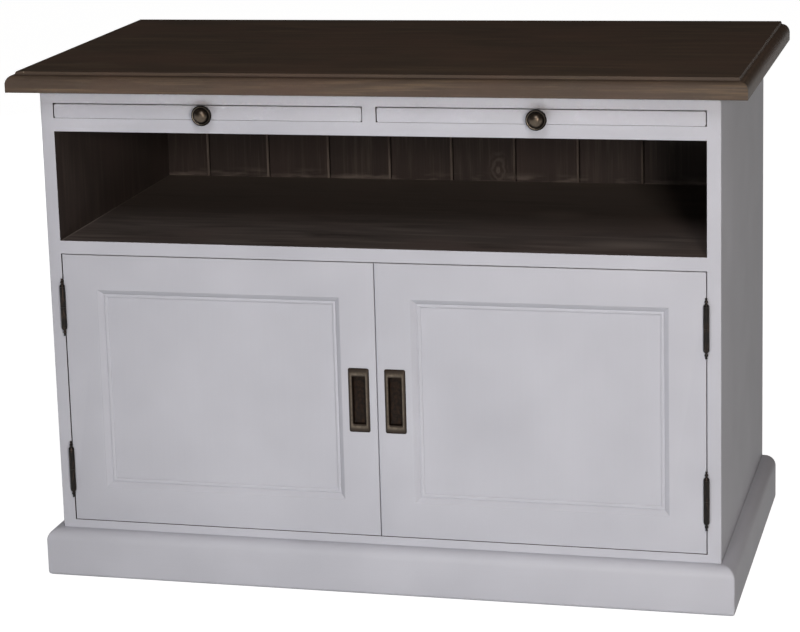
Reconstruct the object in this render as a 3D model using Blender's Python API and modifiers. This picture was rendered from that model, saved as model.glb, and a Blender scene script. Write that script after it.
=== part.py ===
"""Painted television sideboard: a dark moulded top, two pull-out trays, an open niche and a
cupboard with a pair of framed doors, all on a rounded skirting plinth.

Metres. +X is to the right, +Y to the back and +Z up. The origin is on the floor, under the
middle of the cabinet's overall box.
"""
import math

import bmesh
import bpy
from mathutils import Matrix, Vector

# Working gaps
FIT = 0.0003             # between pieces that touch
CUT_OVER = 0.002         # how far a cutter runs past the surface that it opens
ARC_STEPS = 8            # of a quarter round in a moulding

# Carcass
BODY_WIDTH = 1.016
BODY_DEPTH = 0.545
SIDE_THICKNESS = 0.020
BOARD_THICKNESS = 0.020
FLOOR_EDGE_SHOWING = 0.0125
DOOR_OPENING = 0.422
NICHE_HEIGHT = 0.168
TRAY_OPENING = 0.023
HOUSING_DEPTH = 0.006
HOUSING_STOP = 0.015     # from the front edge to where a housing starts
REBATE_WIDTH = 0.010

# Plinth
PLINTH_HEIGHT = 0.073
PLINTH_THICKNESS = 0.0215
PLINTH_ROUND = 0.017
PLINTH_EASE = 0.005

# Top
TOP_OVERHANG_SIDE = 0.041
TOP_OVERHANG_FRONT = 0.035
TOP_EDGE_FLAT = 0.0123
OVOLO_WIDTH = 0.012
OVOLO_HEIGHT = 0.0135
STEP_WIDTH = 0.0015
STEP_HEIGHT = 0.0045

# Matched boards of the back
BACK_THICKNESS = 0.012
BACK_INSET = 0.012       # of the boards' rear faces from the rear edges of the side panels
BACK_FIRST_WIDTH = 0.081
BACK_PITCH = 0.105
BACK_JOINT = 0.0008
BACK_CHAMFER = 0.0025
TONGUE_LENGTH = 0.006
TONGUE_THICKNESS = 0.004
TONGUE_END_GAP = 0.0005

# Cupboard shelf
SHELF_THICKNESS = 0.018
SHELF_CLEAR_BELOW = 0.195
SHELF_SETBACK = 0.050
SHELF_END_GAP = 0.001
BEARER_SIZE = 0.020
BEARER_SETBACK = 0.015   # of the bearer's ends behind the shelf's edges

# Trays
TRAY_BACK_CLEARANCE = 0.021
TRAY_KEPT_IN = 0.180     # of the tray's length, when it is pulled right out
TRAY_LIPPING = 0.020
TRAY_CORNER = 0.0025     # rounding of the front's corners
TRAY_GAP = 0.0015        # round the front, at its sides and top
TRAY_GAP_BELOW = 0.0008
TRAY_HEADROOM = 0.004    # above the tray's board
PEG_RADIUS = 0.004
PEG_INSET = 0.015        # from the tray's back edge
PEG_GROOVE_DEPTH = 0.005
PEG_PLAY = 0.001

# Knobs
KNOB_RADIUS = 0.0155
KNOB_LENGTH = 0.028
KNOB_STEPS = 24

# Doors
DOOR_THICKNESS = 0.022
DOOR_GAP = 0.0015
DOOR_FRAME_WIDTH = 0.054
PANEL_RECESS = 0.008     # from the door's face to the groove that holds the panel
PANEL_THICKNESS = 0.006
PANEL_GROOVE = 0.009
PANEL_PLAY = 0.001       # at the bottom of the groove
MOULDING_WIDTH = 0.013
MOULDING_SET = 0.0005    # below the door's face
MOULDING_BOW = 0.0006    # of the sloping face, at its middle
MOULDING_FILLET = 0.0035
MOULDING_DROP = 0.0018   # from the inner fillet to the panel

# Hinges
BARREL_RADIUS = 0.0045
BARREL_LENGTH = 0.063
HINGE_INSET = 0.0825     # from an end of the door opening to the middle of the barrel
LEAF_THICKNESS = 0.0014
LEAF_LET_IN = 0.0008
LEAF_DEPTH = 0.018
PIN_RADIUS = 0.002
FINIAL_LENGTH = 0.013
BARREL_SIDES = 16
PIN_STEPS = 12

# Recessed pulls
PULL_WIDTH = 0.032
PULL_HEIGHT = 0.0985
PULL_SIDE_RIM = 0.006
PULL_END_RIM = 0.0125
PULL_PROUD = 0.003
PULL_RECESS = 0.009
PULL_WALL = 0.0012
PULL_EDGE = 0.0008

# Magnetic catch
CATCH_WIDTH = 0.048
CATCH_HEIGHT = 0.014
CATCH_DEPTH = 0.016
STRIKE_WIDTH = 0.018
STRIKE_HEIGHT = 0.016
STRIKE_THICKNESS = 0.0015
STRIKE_INSET = 0.002     # from the door's free edge

# Heights worked out from the sizes above
FLOOR_TOP = PLINTH_HEIGHT + FLOOR_EDGE_SHOWING
NICHE_FLOOR_LOW = FLOOR_TOP + DOOR_OPENING
NICHE_FLOOR_TOP = NICHE_FLOOR_LOW + BOARD_THICKNESS
DECK_LOW = NICHE_FLOOR_TOP + NICHE_HEIGHT
DECK_TOP = DECK_LOW + BOARD_THICKNESS
SUB_TOP_LOW = DECK_TOP + TRAY_OPENING
BODY_HEIGHT = SUB_TOP_LOW + BOARD_THICKNESS
TOP_LOW = BODY_HEIGHT + FIT

# Depths and widths worked out from the sizes above
FRONT = TOP_OVERHANG_FRONT - (BODY_DEPTH + TOP_OVERHANG_FRONT) / 2
BACK = FRONT + BODY_DEPTH
BACK_REAR = BACK - BACK_INSET
BACK_FACE = BACK_REAR - BACK_THICKNESS
BOARD_BACK = BACK_FACE - FIT
INNER_HALF = BODY_WIDTH / 2 - SIDE_THICKNESS
DIVIDER_HALF = BOARD_THICKNESS / 2
TRAY_LENGTH = BACK_FACE - FRONT - TRAY_BACK_CLEARANCE
TRAY_TRAVEL = TRAY_LENGTH - TRAY_KEPT_IN

# Door axis, and the door's own measures from that axis towards its free edge and its back
AXIS_OUT = BARREL_RADIUS + FIT
AXIS_Y = FRONT - AXIS_OUT
DOOR_HINGE_EDGE = DOOR_GAP / 2
DOOR_FREE_EDGE = INNER_HALF - DOOR_GAP
DOOR_FACE = AXIS_OUT
DOOR_REAR = AXIS_OUT + DOOR_THICKNESS
DOOR_LOW = DOOR_GAP
DOOR_HIGH = DOOR_OPENING - DOOR_GAP
GROOVE_FRONT = DOOR_FACE + PANEL_RECESS
GROOVE_REAR = GROOVE_FRONT + PANEL_THICKNESS + 2 * FIT
FRAME_X = (DOOR_HINGE_EDGE + DOOR_FRAME_WIDTH, DOOR_FREE_EDGE - DOOR_FRAME_WIDTH)
FRAME_Z = (DOOR_LOW + DOOR_FRAME_WIDTH, DOOR_HIGH - DOOR_FRAME_WIDTH)
HINGE_LEVELS = {"upper": DOOR_OPENING - HINGE_INSET, "lower": HINGE_INSET}
SIDES = {"left": -1, "right": 1}

# Finishes: linear colour, roughness, metallic
FINISHES = {
    "white_paint": ((0.48, 0.475, 0.51), 0.50, 0.0),
    "dark_stained_wood": ((0.050, 0.038, 0.029), 0.50, 0.0),
    "aged_brass": ((0.13, 0.095, 0.055), 0.38, 1.0),
    "dark_bronze": ((0.022, 0.018, 0.015), 0.40, 1.0),
    "zinc_plate": ((0.45, 0.45, 0.46), 0.35, 1.0),
}


def clear_scene():
    for old in list(bpy.data.objects):
        bpy.data.objects.remove(old, do_unlink=True)


def new_collection(name):
    made = bpy.data.collections.new(name)
    bpy.context.scene.collection.children.link(made)
    return made


def new_finish(name):
    colour, roughness, metallic = FINISHES[name]
    made = bpy.data.materials.new(name)
    made.use_nodes = True
    shader = made.node_tree.nodes["Principled BSDF"]
    shader.inputs["Base Color"].default_value = (*colour, 1.0)
    shader.inputs["Roughness"].default_value = roughness
    shader.inputs["Metallic"].default_value = metallic
    return made


def new_axis(name, place):
    """An empty that carries the pieces of one body."""
    made = bpy.data.objects.new(name, None)
    made.location = place
    parts.objects.link(made)
    return made


def arc(middle, radii, start, end, steps):
    """Points of an elliptic arc, between two angles in degrees."""
    turns = [math.radians(start + (end - start) * i / steps) for i in range(steps + 1)]
    return [(middle[0] + radii[0] * math.cos(t), middle[1] + radii[1] * math.sin(t)) for t in turns]


def point(axis, u, v, w):
    """A place from an outline's two flat coordinates and its distance along the axis."""
    return Vector({"X": (w, u, v), "Y": (u, w, v), "Z": (u, v, w)}[axis])


def box(one, other):
    """A block between two opposite corners, in either order."""
    size = [abs(b - a) for a, b in zip(one, other)]
    middle = [(a + b) / 2 for a, b in zip(one, other)]
    shape = bmesh.new()
    place = Matrix.Translation(middle) @ Matrix.Diagonal((*size, 1.0))
    bmesh.ops.create_cube(shape, size=1.0, matrix=place)
    return shape


def rod(middle, radius, length, sides):
    """An upright cylinder."""
    shape = bmesh.new()
    bmesh.ops.create_cone(shape, cap_ends=True, segments=sides, radius1=radius, radius2=radius,
                          depth=length, matrix=Matrix.Translation(middle))
    return shape


def prism(outline, axis, start, end):
    """A closed outline extruded along an axis."""
    shape = bmesh.new()
    face = shape.faces.new([shape.verts.new(point(axis, u, v, start)) for u, v in outline])
    grown = bmesh.ops.extrude_face_region(shape, geom=[face])["geom"]
    far_end = [item for item in grown if isinstance(item, bmesh.types.BMVert)]
    bmesh.ops.translate(shape, verts=far_end, vec=point(axis, 0.0, 0.0, end - start))
    bmesh.ops.recalc_face_normals(shape, faces=shape.faces)
    return shape


def loft(axis, rectangles, ring=False):
    """A skin over rectangles (u0, u1, v0, v1, w), capped at both ends or closed into a ring."""
    shape = bmesh.new()
    loops = []
    for u0, u1, v0, v1, w in rectangles:
        corners = ((u0, v0), (u1, v0), (u1, v1), (u0, v1))
        loops.append([shape.verts.new(point(axis, u, v, w)) for u, v in corners])
    followers = loops[1:] + loops[:1] if ring else loops[1:]
    for one, other in zip(loops, followers):
        for i in range(4):
            shape.faces.new((one[i - 1], one[i], other[i], other[i - 1]))
    if not ring:
        shape.faces.new(loops[0])
        shape.faces.new(loops[-1])
    bmesh.ops.recalc_face_normals(shape, faces=shape.faces)
    return shape


def new_object(name, shape, collection, parent):
    mesh = bpy.data.meshes.new(name)
    shape.to_mesh(mesh)
    shape.free()
    made = bpy.data.objects.new(name, mesh)
    collection.objects.link(made)
    made.parent = parent
    return made


def piece(name, shape, finish, parent):
    """A named sub-part, whose shape is given in its parent's frame."""
    made = new_object(name, shape, parts, parent)
    made.data.materials.append(finishes[finish])
    return made


def combine(target, operation, name, shape):
    """Cuts a shape out of a piece (DIFFERENCE), or joins it on (UNION)."""
    tool = new_object(name, shape, cutters, target.parent)
    tool.hide_render = True
    tool.display_type = "WIRE"
    step = target.modifiers.new(name, "BOOLEAN")
    step.operation = operation
    step.solver = "EXACT"
    step.object = tool


def turned(name, outline, steps, finish, parent):
    """A piece turned round its own Z axis, from points (radius, height) listed from the top down."""
    mesh = bpy.data.meshes.new(name)
    mesh.from_pydata([(r, 0.0, z) for r, z in outline], [(i, i + 1) for i in range(len(outline) - 1)], [])
    made = bpy.data.objects.new(name, mesh)
    parts.objects.link(made)
    made.parent = parent
    mesh.materials.append(finishes[finish])
    screw = made.modifiers.new("turning", "SCREW")
    screw.steps = steps
    screw.render_steps = steps
    screw.use_merge_vertices = True
    screw.merge_threshold = 0.00001
    screw.use_smooth_shade = True
    return made


def top_panel():
    """The moulded top: a square edge, an ovolo and a small step, on the front and both ends."""
    ovolo = arc((OVOLO_WIDTH, TOP_EDGE_FLAT), (OVOLO_WIDTH, OVOLO_HEIGHT), 180.0, 90.0, ARC_STEPS)
    thickness = TOP_EDGE_FLAT + OVOLO_HEIGHT + STEP_HEIGHT
    edge = [(0.0, 0.0), *ovolo, (OVOLO_WIDTH + STEP_WIDTH, thickness)]
    half = BODY_WIDTH / 2 + TOP_OVERHANG_SIDE
    front = FRONT - TOP_OVERHANG_FRONT
    levels = [(inset - half, half - inset, front + inset, BACK, TOP_LOW + z) for inset, z in edge]
    piece("top_panel", loft("Z", levels), "dark_stained_wood", cabinet)


def side_panel(name, side):
    """An end of the carcass, housed for the boards and rebated for the back."""
    inner = side * INNER_HALF
    panel = box((side * BODY_WIDTH / 2, FRONT, 0.0), (inner, BACK, BODY_HEIGHT))
    made = piece(f"side_panel_{name}", panel, "white_paint", cabinet)
    open_x = inner - side * CUT_OVER
    rebate = box((open_x, BACK_FACE - FIT, -CUT_OVER),
                 (inner + side * REBATE_WIDTH, BACK + CUT_OVER, BODY_HEIGHT + CUT_OVER))
    combine(made, "DIFFERENCE", f"rebate_{name}", rebate)
    for board, low in BOARD_LEVELS.items():
        housing = box((open_x, FRONT + HOUSING_STOP - FIT, low - FIT),
                      (inner + side * (HOUSING_DEPTH + FIT), BACK + CUT_OVER, low + BOARD_THICKNESS + FIT))
        combine(made, "DIFFERENCE", f"housing_{name}_{board}", housing)
    for level, height in HINGE_LEVELS.items():
        half = BARREL_LENGTH / 2 + FIT
        bed = inner + side * (LEAF_LET_IN + FIT)
        mortise = box((open_x, FRONT - CUT_OVER, FLOOR_TOP + height - half),
                      (bed, FRONT + LEAF_DEPTH + FIT, FLOOR_TOP + height + half))
        combine(made, "DIFFERENCE", f"leaf_mortise_{name}_{level}", mortise)


def housed_board(name, low):
    """A board across the carcass, its ends let into stopped housings in the sides."""
    shoulder = INNER_HALF - FIT
    end = INNER_HALF + HOUSING_DEPTH
    stop = FRONT + HOUSING_STOP
    outline = [(-shoulder, FRONT), (shoulder, FRONT), (shoulder, stop), (end, stop),
               (end, BOARD_BACK), (-end, BOARD_BACK), (-end, stop), (-shoulder, stop)]
    return piece(name, prism(outline, "Z", low, low + BOARD_THICKNESS), "dark_stained_wood", cabinet)


def tray_centre(side):
    return side * (INNER_HALF + DIVIDER_HALF) / 2


def carcass_boards():
    made = {name: housed_board(name, low) for name, low in BOARD_LEVELS.items()}
    peg_stop = FRONT + TRAY_LENGTH - PEG_INSET - TRAY_TRAVEL - PEG_RADIUS - FIT
    reach = PEG_RADIUS + PEG_PLAY
    for name, side in SIDES.items():
        groove = box((tray_centre(side) - reach, peg_stop, SUB_TOP_LOW - CUT_OVER),
                     (tray_centre(side) + reach, BACK, SUB_TOP_LOW + PEG_GROOVE_DEPTH))
        combine(made["sub_top"], "DIFFERENCE", f"peg_groove_{name}", groove)
    divider = box((-DIVIDER_HALF, FRONT, DECK_TOP + FIT), (DIVIDER_HALF, BOARD_BACK, SUB_TOP_LOW - FIT))
    piece("tray_divider", divider, "dark_stained_wood", cabinet)


def shelf():
    low = FLOOR_TOP + SHELF_CLEAR_BELOW
    half = INNER_HALF - SHELF_END_GAP
    front = FRONT + SHELF_SETBACK
    board = box((-half, front, low), (half, BOARD_BACK, low + SHELF_THICKNESS))
    piece("cupboard_shelf", board, "dark_stained_wood", cabinet)
    for name, side in SIDES.items():
        wall = side * (INNER_HALF - FIT)
        bearer = box((wall, front + BEARER_SETBACK, low - FIT - BEARER_SIZE),
                     (wall - side * BEARER_SIZE, BOARD_BACK - BEARER_SETBACK, low - FIT))
        piece(f"shelf_bearer_{name}", bearer, "dark_stained_wood", cabinet)


def back_boards():
    """Upright matched boards in the rebates, the first and last ripped to fit."""
    half = INNER_HALF + REBATE_WIDTH - FIT
    joints = [-half + BACK_FIRST_WIDTH]
    while joints[-1] + BACK_PITCH < half - BACK_PITCH / 4:
        joints.append(joints[-1] + BACK_PITCH)
    lefts = [-half, *(x + BACK_JOINT / 2 for x in joints)]
    rights = [*(x - BACK_JOINT / 2 for x in joints), half]
    low = FLOOR_TOP - BOARD_THICKNESS
    for number, (left, right) in enumerate(zip(lefts, rights), start=1):
        outline = matched_outline(left, right, number > 1, number < len(lefts))
        board = prism(outline, "Z", low, BODY_HEIGHT)
        piece(f"back_board_{number:02d}", board, "dark_stained_wood", cabinet)


def matched_outline(left, right, grooved, tongued):
    """Plan of one matched board: a groove on its left edge, a tongue on its right one."""
    middle = (BACK_FACE + BACK_REAR) / 2
    groove_half = TONGUE_THICKNESS / 2 + FIT
    groove_end = left + TONGUE_LENGTH - BACK_JOINT + TONGUE_END_GAP
    outline = [(left, BACK_REAR)]
    if grooved:
        outline += [(left, middle + groove_half), (groove_end, middle + groove_half),
                    (groove_end, middle - groove_half), (left, middle - groove_half),
                    (left, BACK_FACE + BACK_CHAMFER), (left + BACK_CHAMFER, BACK_FACE)]
    else:
        outline += [(left, BACK_FACE)]
    if tongued:
        tip = right + TONGUE_LENGTH
        tongue_half = TONGUE_THICKNESS / 2
        outline += [(right - BACK_CHAMFER, BACK_FACE), (right, BACK_FACE + BACK_CHAMFER),
                    (right, middle - tongue_half), (tip, middle - tongue_half),
                    (tip, middle + tongue_half), (right, middle + tongue_half)]
    else:
        outline += [(right, BACK_FACE)]
    return [*outline, (right, BACK_REAR)]


def plinth():
    """Skirting round the front and ends, rounded over on top and mitred at the corners."""
    outer = FIT + PLINTH_THICKNESS
    round_middle = (outer - PLINTH_ROUND, PLINTH_HEIGHT - PLINTH_ROUND)
    shoulder = arc(round_middle, (PLINTH_ROUND, PLINTH_ROUND), 0.0, 90.0, ARC_STEPS)
    foot = arc((outer - PLINTH_EASE, PLINTH_EASE), (PLINTH_EASE, PLINTH_EASE), 270.0, 360.0, ARC_STEPS // 2)
    section = [(FIT, 0.0), *foot, *shoulder, (FIT, PLINTH_HEIGHT)]
    corner = BODY_WIDTH / 2
    strip = prism([(FRONT - out, z) for out, z in section], "X", -corner, corner)
    for vert in strip.verts:
        vert.co.x += math.copysign(FRONT - vert.co.y - FIT, vert.co.x)
    piece("plinth_front", strip, "white_paint", cabinet)
    for name, side in SIDES.items():
        strip = prism([(side * (corner + out), z) for out, z in section], "Y", FRONT, BACK)
        for vert in strip.verts:
            if vert.co.y < 0.0:
                vert.co.y -= abs(vert.co.x) - corner - FIT
        piece(f"plinth_{name}", strip, "white_paint", cabinet)


def tray(name, side):
    """A flat pull-out tray with a painted front, a knob and a stop peg at its back."""
    slide = new_axis(f"tray_{name}_slide", (tray_centre(side), FRONT, DECK_TOP))
    half = (INNER_HALF - DIVIDER_HALF) / 2 - TRAY_GAP
    board_top = TRAY_OPENING - TRAY_HEADROOM
    flat = box((-half, TRAY_LIPPING + FIT, FIT), (half, TRAY_LENGTH, board_top))
    board = piece(f"tray_{name}_board", flat, "dark_stained_wood", slide)
    peg_high = TRAY_OPENING + PEG_GROOVE_DEPTH - PEG_PLAY
    peg_low = board_top / 2
    peg_middle = (0.0, TRAY_LENGTH - PEG_INSET, (peg_low + peg_high) / 2)
    peg = rod(peg_middle, PEG_RADIUS, peg_high - peg_low, BARREL_SIDES)
    combine(board, "UNION", f"stop_peg_{name}", peg)
    front_low = TRAY_GAP_BELOW
    front_high = TRAY_OPENING - TRAY_GAP
    outline = rounded_outline(-half, half, front_low, front_high, TRAY_CORNER)
    piece(f"tray_{name}_front", prism(outline, "Y", 0.0, TRAY_LIPPING), "white_paint", slide)
    knob = turned(f"tray_{name}_knob", knob_outline(), KNOB_STEPS, "aged_brass", slide)
    knob.location = (0.0, -FIT, (FIT + board_top) / 2)
    knob.rotation_euler = (math.radians(90.0), 0.0, 0.0)


def rounded_outline(u0, u1, v0, v1, radius):
    """Corner points of a rectangle with rounded corners."""
    outline = []
    for turn, (u, v) in enumerate(((u1, v1), (u0, v1), (u0, v0), (u1, v0))):
        middle = (u - math.copysign(radius, u - (u0 + u1) / 2), v - math.copysign(radius, v - (v0 + v1) / 2))
        outline += arc(middle, (radius, radius), 90.0 * turn, 90.0 * turn + 90.0, ARC_STEPS // 2)
    return outline


def knob_outline():
    """Half section of a knob, from its tip to its foot: a dome, a groove, a rim and a waisted stem."""
    dome = [(0.0, 1.0), (0.34, 0.97), (0.56, 0.89), (0.67, 0.78), (0.70, 0.70)]
    rim = [(0.76, 0.69), (0.84, 0.74), (0.94, 0.72), (1.0, 0.65), (1.0, 0.58), (0.90, 0.52)]
    stem = [(0.58, 0.42), (0.40, 0.30), (0.42, 0.16), (0.58, 0.09), (0.60, 0.0), (0.0, 0.0)]
    return [(r * KNOB_RADIUS, z * KNOB_LENGTH) for r, z in dome + rim + stem]


def finial_outline():
    """Half section of a hinge finial, from its tip to its foot: a bud, a bead and a flared base."""
    bud = [(0.0, 1.0), (0.36, 0.99), (0.42, 0.91), (0.26, 0.78)]
    bead = [(0.52, 0.65), (0.64, 0.55), (0.52, 0.45), (0.34, 0.38)]
    base = [(0.80, 0.20), (0.96, 0.12), (0.98, 0.0)]
    return [(r * BARREL_RADIUS, h * FINIAL_LENGTH) for r, h in bud + bead + base]


def door(name, side):
    """A framed and panelled door; its parts are placed from the hinge axis, towards the free edge."""
    axis = new_axis(f"door_{name}_axis", (side * (INNER_HALF - DOOR_GAP / 2), AXIS_Y, FLOOR_TOP))
    hinge_stile = door_stile(f"door_{name}_hinge_stile", side, DOOR_HINGE_EDGE, FRAME_X[0], axis)
    for level, height in HINGE_LEVELS.items():
        half = BARREL_LENGTH / 2 + FIT
        bed = DOOR_HINGE_EDGE + LEAF_LET_IN + FIT
        mortise = box((-side * (DOOR_HINGE_EDGE - CUT_OVER), DOOR_FACE - CUT_OVER, height - half),
                      (-side * bed, DOOR_FACE + LEAF_DEPTH + FIT, height + half))
        combine(hinge_stile, "DIFFERENCE", f"door_leaf_mortise_{name}_{level}", mortise)
        hinge(name, side, level, height, axis)
    meeting_stile = door_stile(f"door_{name}_meeting_stile", side, DOOR_FREE_EDGE, FRAME_X[1], axis)
    door_rail(f"door_{name}_top_rail", side, DOOR_HIGH, FRAME_Z[1], axis)
    door_rail(f"door_{name}_bottom_rail", side, DOOR_LOW, FRAME_Z[0], axis)
    reach = PANEL_GROOVE - PANEL_PLAY
    panel = box((-side * (FRAME_X[0] - reach), GROOVE_FRONT + FIT, FRAME_Z[0] - reach),
                (-side * (FRAME_X[1] + reach), GROOVE_REAR - FIT, FRAME_Z[1] + reach))
    piece(f"door_{name}_panel", panel, "white_paint", axis)
    door_moulding(f"door_{name}_moulding", side, axis)
    pull(name, side, meeting_stile, axis)
    free_edge = DOOR_FREE_EDGE - STRIKE_INSET
    strike = box((-side * free_edge, DOOR_REAR + FIT, DOOR_HIGH - STRIKE_INSET),
                 (-side * (free_edge - STRIKE_WIDTH), DOOR_REAR + FIT + STRIKE_THICKNESS,
                  DOOR_HIGH - STRIKE_INSET - STRIKE_HEIGHT))
    piece(f"door_{name}_strike", strike, "zinc_plate", axis)


def door_stile(name, side, outer, inner, axis):
    """An upright of the door's frame, grooved along its inner edge."""
    groove = inner - math.copysign(PANEL_GROOVE, inner - outer)
    outline = [(outer, DOOR_FACE), (inner, DOOR_FACE), (inner, GROOVE_FRONT), (groove, GROOVE_FRONT),
               (groove, GROOVE_REAR), (inner, GROOVE_REAR), (inner, DOOR_REAR), (outer, DOOR_REAR)]
    stile = prism([(-side * x, y) for x, y in outline], "Z", DOOR_LOW, DOOR_HIGH)
    return piece(name, stile, "white_paint", axis)


def door_rail(name, side, outer, inner, axis):
    """A cross rail of the door's frame, with stub tenons that fill the ends of the stiles' grooves."""
    groove = inner - math.copysign(PANEL_GROOVE, inner - outer)
    outline = [(DOOR_FACE, outer), (DOOR_FACE, inner), (GROOVE_FRONT, inner), (GROOVE_FRONT, groove),
               (GROOVE_REAR, groove), (GROOVE_REAR, inner), (DOOR_REAR, inner), (DOOR_REAR, outer)]
    rail = prism(outline, "X", -side * (FRAME_X[0] + FIT), -side * (FRAME_X[1] - FIT))
    made = piece(name, rail, "white_paint", axis)
    reach = PANEL_GROOVE - PANEL_PLAY
    tenon_edge = outer + math.copysign(CUT_OVER, inner - outer)
    tenon = box((-side * (FRAME_X[0] - reach), GROOVE_FRONT + FIT, tenon_edge),
                (-side * (FRAME_X[1] + reach), GROOVE_REAR - FIT, groove - math.copysign(FIT, inner - outer)))
    combine(made, "UNION", f"{name}_tenons", tenon)


def door_moulding(name, side, axis):
    """Mitred moulding that frames the panel: a bowed slope and an inner fillet."""
    slope_width = MOULDING_WIDTH - MOULDING_FILLET
    bed = PANEL_RECESS
    fillet = bed - MOULDING_DROP
    shares = [i / ARC_STEPS for i in range(ARC_STEPS + 1)]
    slope = [(slope_width * t, MOULDING_SET + (fillet - MOULDING_SET) * t - 4.0 * MOULDING_BOW * t * (1.0 - t))
             for t in shares]
    section = [(0.0, bed), *slope, (MOULDING_WIDTH, fillet), (MOULDING_WIDTH, bed)]
    near = FRAME_X[0] + FIT
    far = FRAME_X[1] - FIT
    rectangles = [(-side * (near + inset), -side * (far - inset), FRAME_Z[0] + FIT + inset,
                   FRAME_Z[1] - FIT - inset, DOOR_FACE + depth) for inset, depth in section]
    piece(name, loft("Y", rectangles, ring=True), "white_paint", axis)


def pull(name, side, stile, axis):
    """A cast rim round a finger recess, let into the middle of the meeting stile."""
    middle_x = -side * (DOOR_FREE_EDGE - DOOR_FRAME_WIDTH / 2)
    middle_z = DOOR_OPENING / 2
    recess = (PULL_WIDTH / 2 - PULL_SIDE_RIM, PULL_HEIGHT / 2 - PULL_END_RIM)
    seat = DOOR_FACE - FIT
    crown = DOOR_FACE - PULL_PROUD
    floor = DOOR_FACE + PULL_RECESS
    edge = seat - PULL_EDGE
    rim = arc((0.0, edge), (1.0, crown - edge), 0.0, 90.0, 3)

    def rectangle(grow, depth):
        half_x = recess[0] + grow[0]
        half_z = recess[1] + grow[1]
        return (middle_x - half_x, middle_x + half_x, middle_z - half_z, middle_z + half_z, depth)

    def rim_share(share):
        return (PULL_SIDE_RIM * share, PULL_END_RIM * share)

    cup = (PULL_WALL, PULL_WALL)
    crown_share = 0.35   # of the rim's width, from the recess to where the rim is highest
    rectangles = [rectangle(cup, floor + PULL_WALL), rectangle(cup, seat), rectangle(rim_share(1.0), seat)]
    rectangles += [rectangle(rim_share(crown_share + (1.0 - crown_share) * out), depth) for out, depth in rim]
    rectangles += [rectangle(rim_share(0.08), crown), rectangle((0.0, 0.0), crown + PULL_EDGE),
                   rectangle((0.0, 0.0), floor)]
    piece(f"door_{name}_pull", loft("Y", rectangles), "aged_brass", axis)
    clear = (PULL_WALL + FIT, PULL_WALL + FIT)
    x0, x1, z0, z1, depth = rectangle(clear, floor + PULL_WALL + FIT)
    combine(stile, "DIFFERENCE", f"pull_mortise_{name}", box((x0, DOOR_FACE - CUT_OVER, z0), (x1, depth, z1)))


def hinge(name, side, level, height, axis):
    """A lift-off butt hinge: the frame's leaf with the lower knuckle, the door's with the upper."""
    label = f"hinge_{name}_{level}"
    ends = (height - BARREL_LENGTH / 2, height + BARREL_LENGTH / 2)
    proud = LEAF_THICKNESS - LEAF_LET_IN
    door_x = (-side * (DOOR_HINGE_EDGE + LEAF_LET_IN), -side * (DOOR_HINGE_EDGE - proud))
    knuckle = (height + FIT / 2, ends[1])
    hinge_leaf(f"{label}_door_leaf", door_x, ends, knuckle, (0.0, 0.0, 0.0), axis)
    foot = axis.location
    frame_x = (foot.x + side * (DOOR_GAP / 2 + LEAF_LET_IN), foot.x + side * (DOOR_GAP / 2 - proud))
    frame_ends = (foot.z + ends[0], foot.z + ends[1])
    knuckle = (frame_ends[0], foot.z + height - FIT / 2)
    hinge_leaf(f"{label}_frame_leaf", frame_x, frame_ends, knuckle, (foot.x, foot.y, 0.0), cabinet)
    half = BARREL_LENGTH / 2 + FIT
    upper = [*((r, half + h) for r, h in finial_outline()), (PIN_RADIUS, half)]
    lower = [(r, -z) for r, z in reversed(upper)]
    pin = turned(f"{label}_pin", upper + lower, PIN_STEPS, "dark_bronze", cabinet)
    pin.location = (foot.x, foot.y, foot.z + height)


def hinge_leaf(name, thickness, ends, knuckle, origin, parent):
    """One leaf, with the tab that joins it to its own knuckle, and the bore for the pin."""
    pin_y = origin[1]
    leaf_front = pin_y + AXIS_OUT + FIT
    leaf_back = pin_y + AXIS_OUT + LEAF_DEPTH
    low, high = ends
    if knuckle[0] > low:
        outline = [(leaf_back, low), (leaf_back, high), (pin_y, high), (pin_y, knuckle[0]),
                   (leaf_front, knuckle[0]), (leaf_front, low)]
    else:
        outline = [(leaf_back, low), (leaf_back, high), (leaf_front, high), (leaf_front, knuckle[1]),
                   (pin_y, knuckle[1]), (pin_y, low)]
    made = piece(name, prism(outline, "X", *thickness), "dark_bronze", parent)
    middle = (origin[0], pin_y, (knuckle[0] + knuckle[1]) / 2)
    length = knuckle[1] - knuckle[0]
    barrel = rod(middle, BARREL_RADIUS, length, BARREL_SIDES)
    combine(made, "UNION", f"{name}_knuckle", barrel)
    bore = rod(middle, PIN_RADIUS + FIT, length + CUT_OVER, BARREL_SIDES)
    combine(made, "DIFFERENCE", f"{name}_bore", bore)


def magnetic_catch():
    """A double catch under the niche floor, which both doors' strike plates meet."""
    front = FRONT + DOOR_THICKNESS + STRIKE_THICKNESS + 2 * FIT
    catch = box((-CATCH_WIDTH / 2, front, NICHE_FLOOR_LOW - FIT - CATCH_HEIGHT),
                (CATCH_WIDTH / 2, front + CATCH_DEPTH, NICHE_FLOOR_LOW - FIT))
    piece("magnetic_catch", catch, "dark_bronze", cabinet)


BOARD_LEVELS = {"sub_top": SUB_TOP_LOW, "tray_deck": DECK_LOW, "niche_floor": NICHE_FLOOR_LOW,
                "cupboard_floor": FLOOR_TOP - BOARD_THICKNESS}

clear_scene()
parts = new_collection("tv_sideboard")
cutters = new_collection("cutters")
finishes = {name: new_finish(name) for name in FINISHES}
cabinet = new_axis("cabinet", (0.0, 0.0, 0.0))

top_panel()
carcass_boards()
shelf()
back_boards()
plinth()
magnetic_catch()
for side_name, side_sign in SIDES.items():
    side_panel(side_name, side_sign)
    tray(side_name, side_sign)
    door(side_name, side_sign)
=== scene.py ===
"""Looks of a painted television sideboard: satin paint, dark stained pine, aged brass and bronze.

Metres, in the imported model's own frame: +X is to the right, +Y to the back and +Z up.
"""
import math

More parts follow.
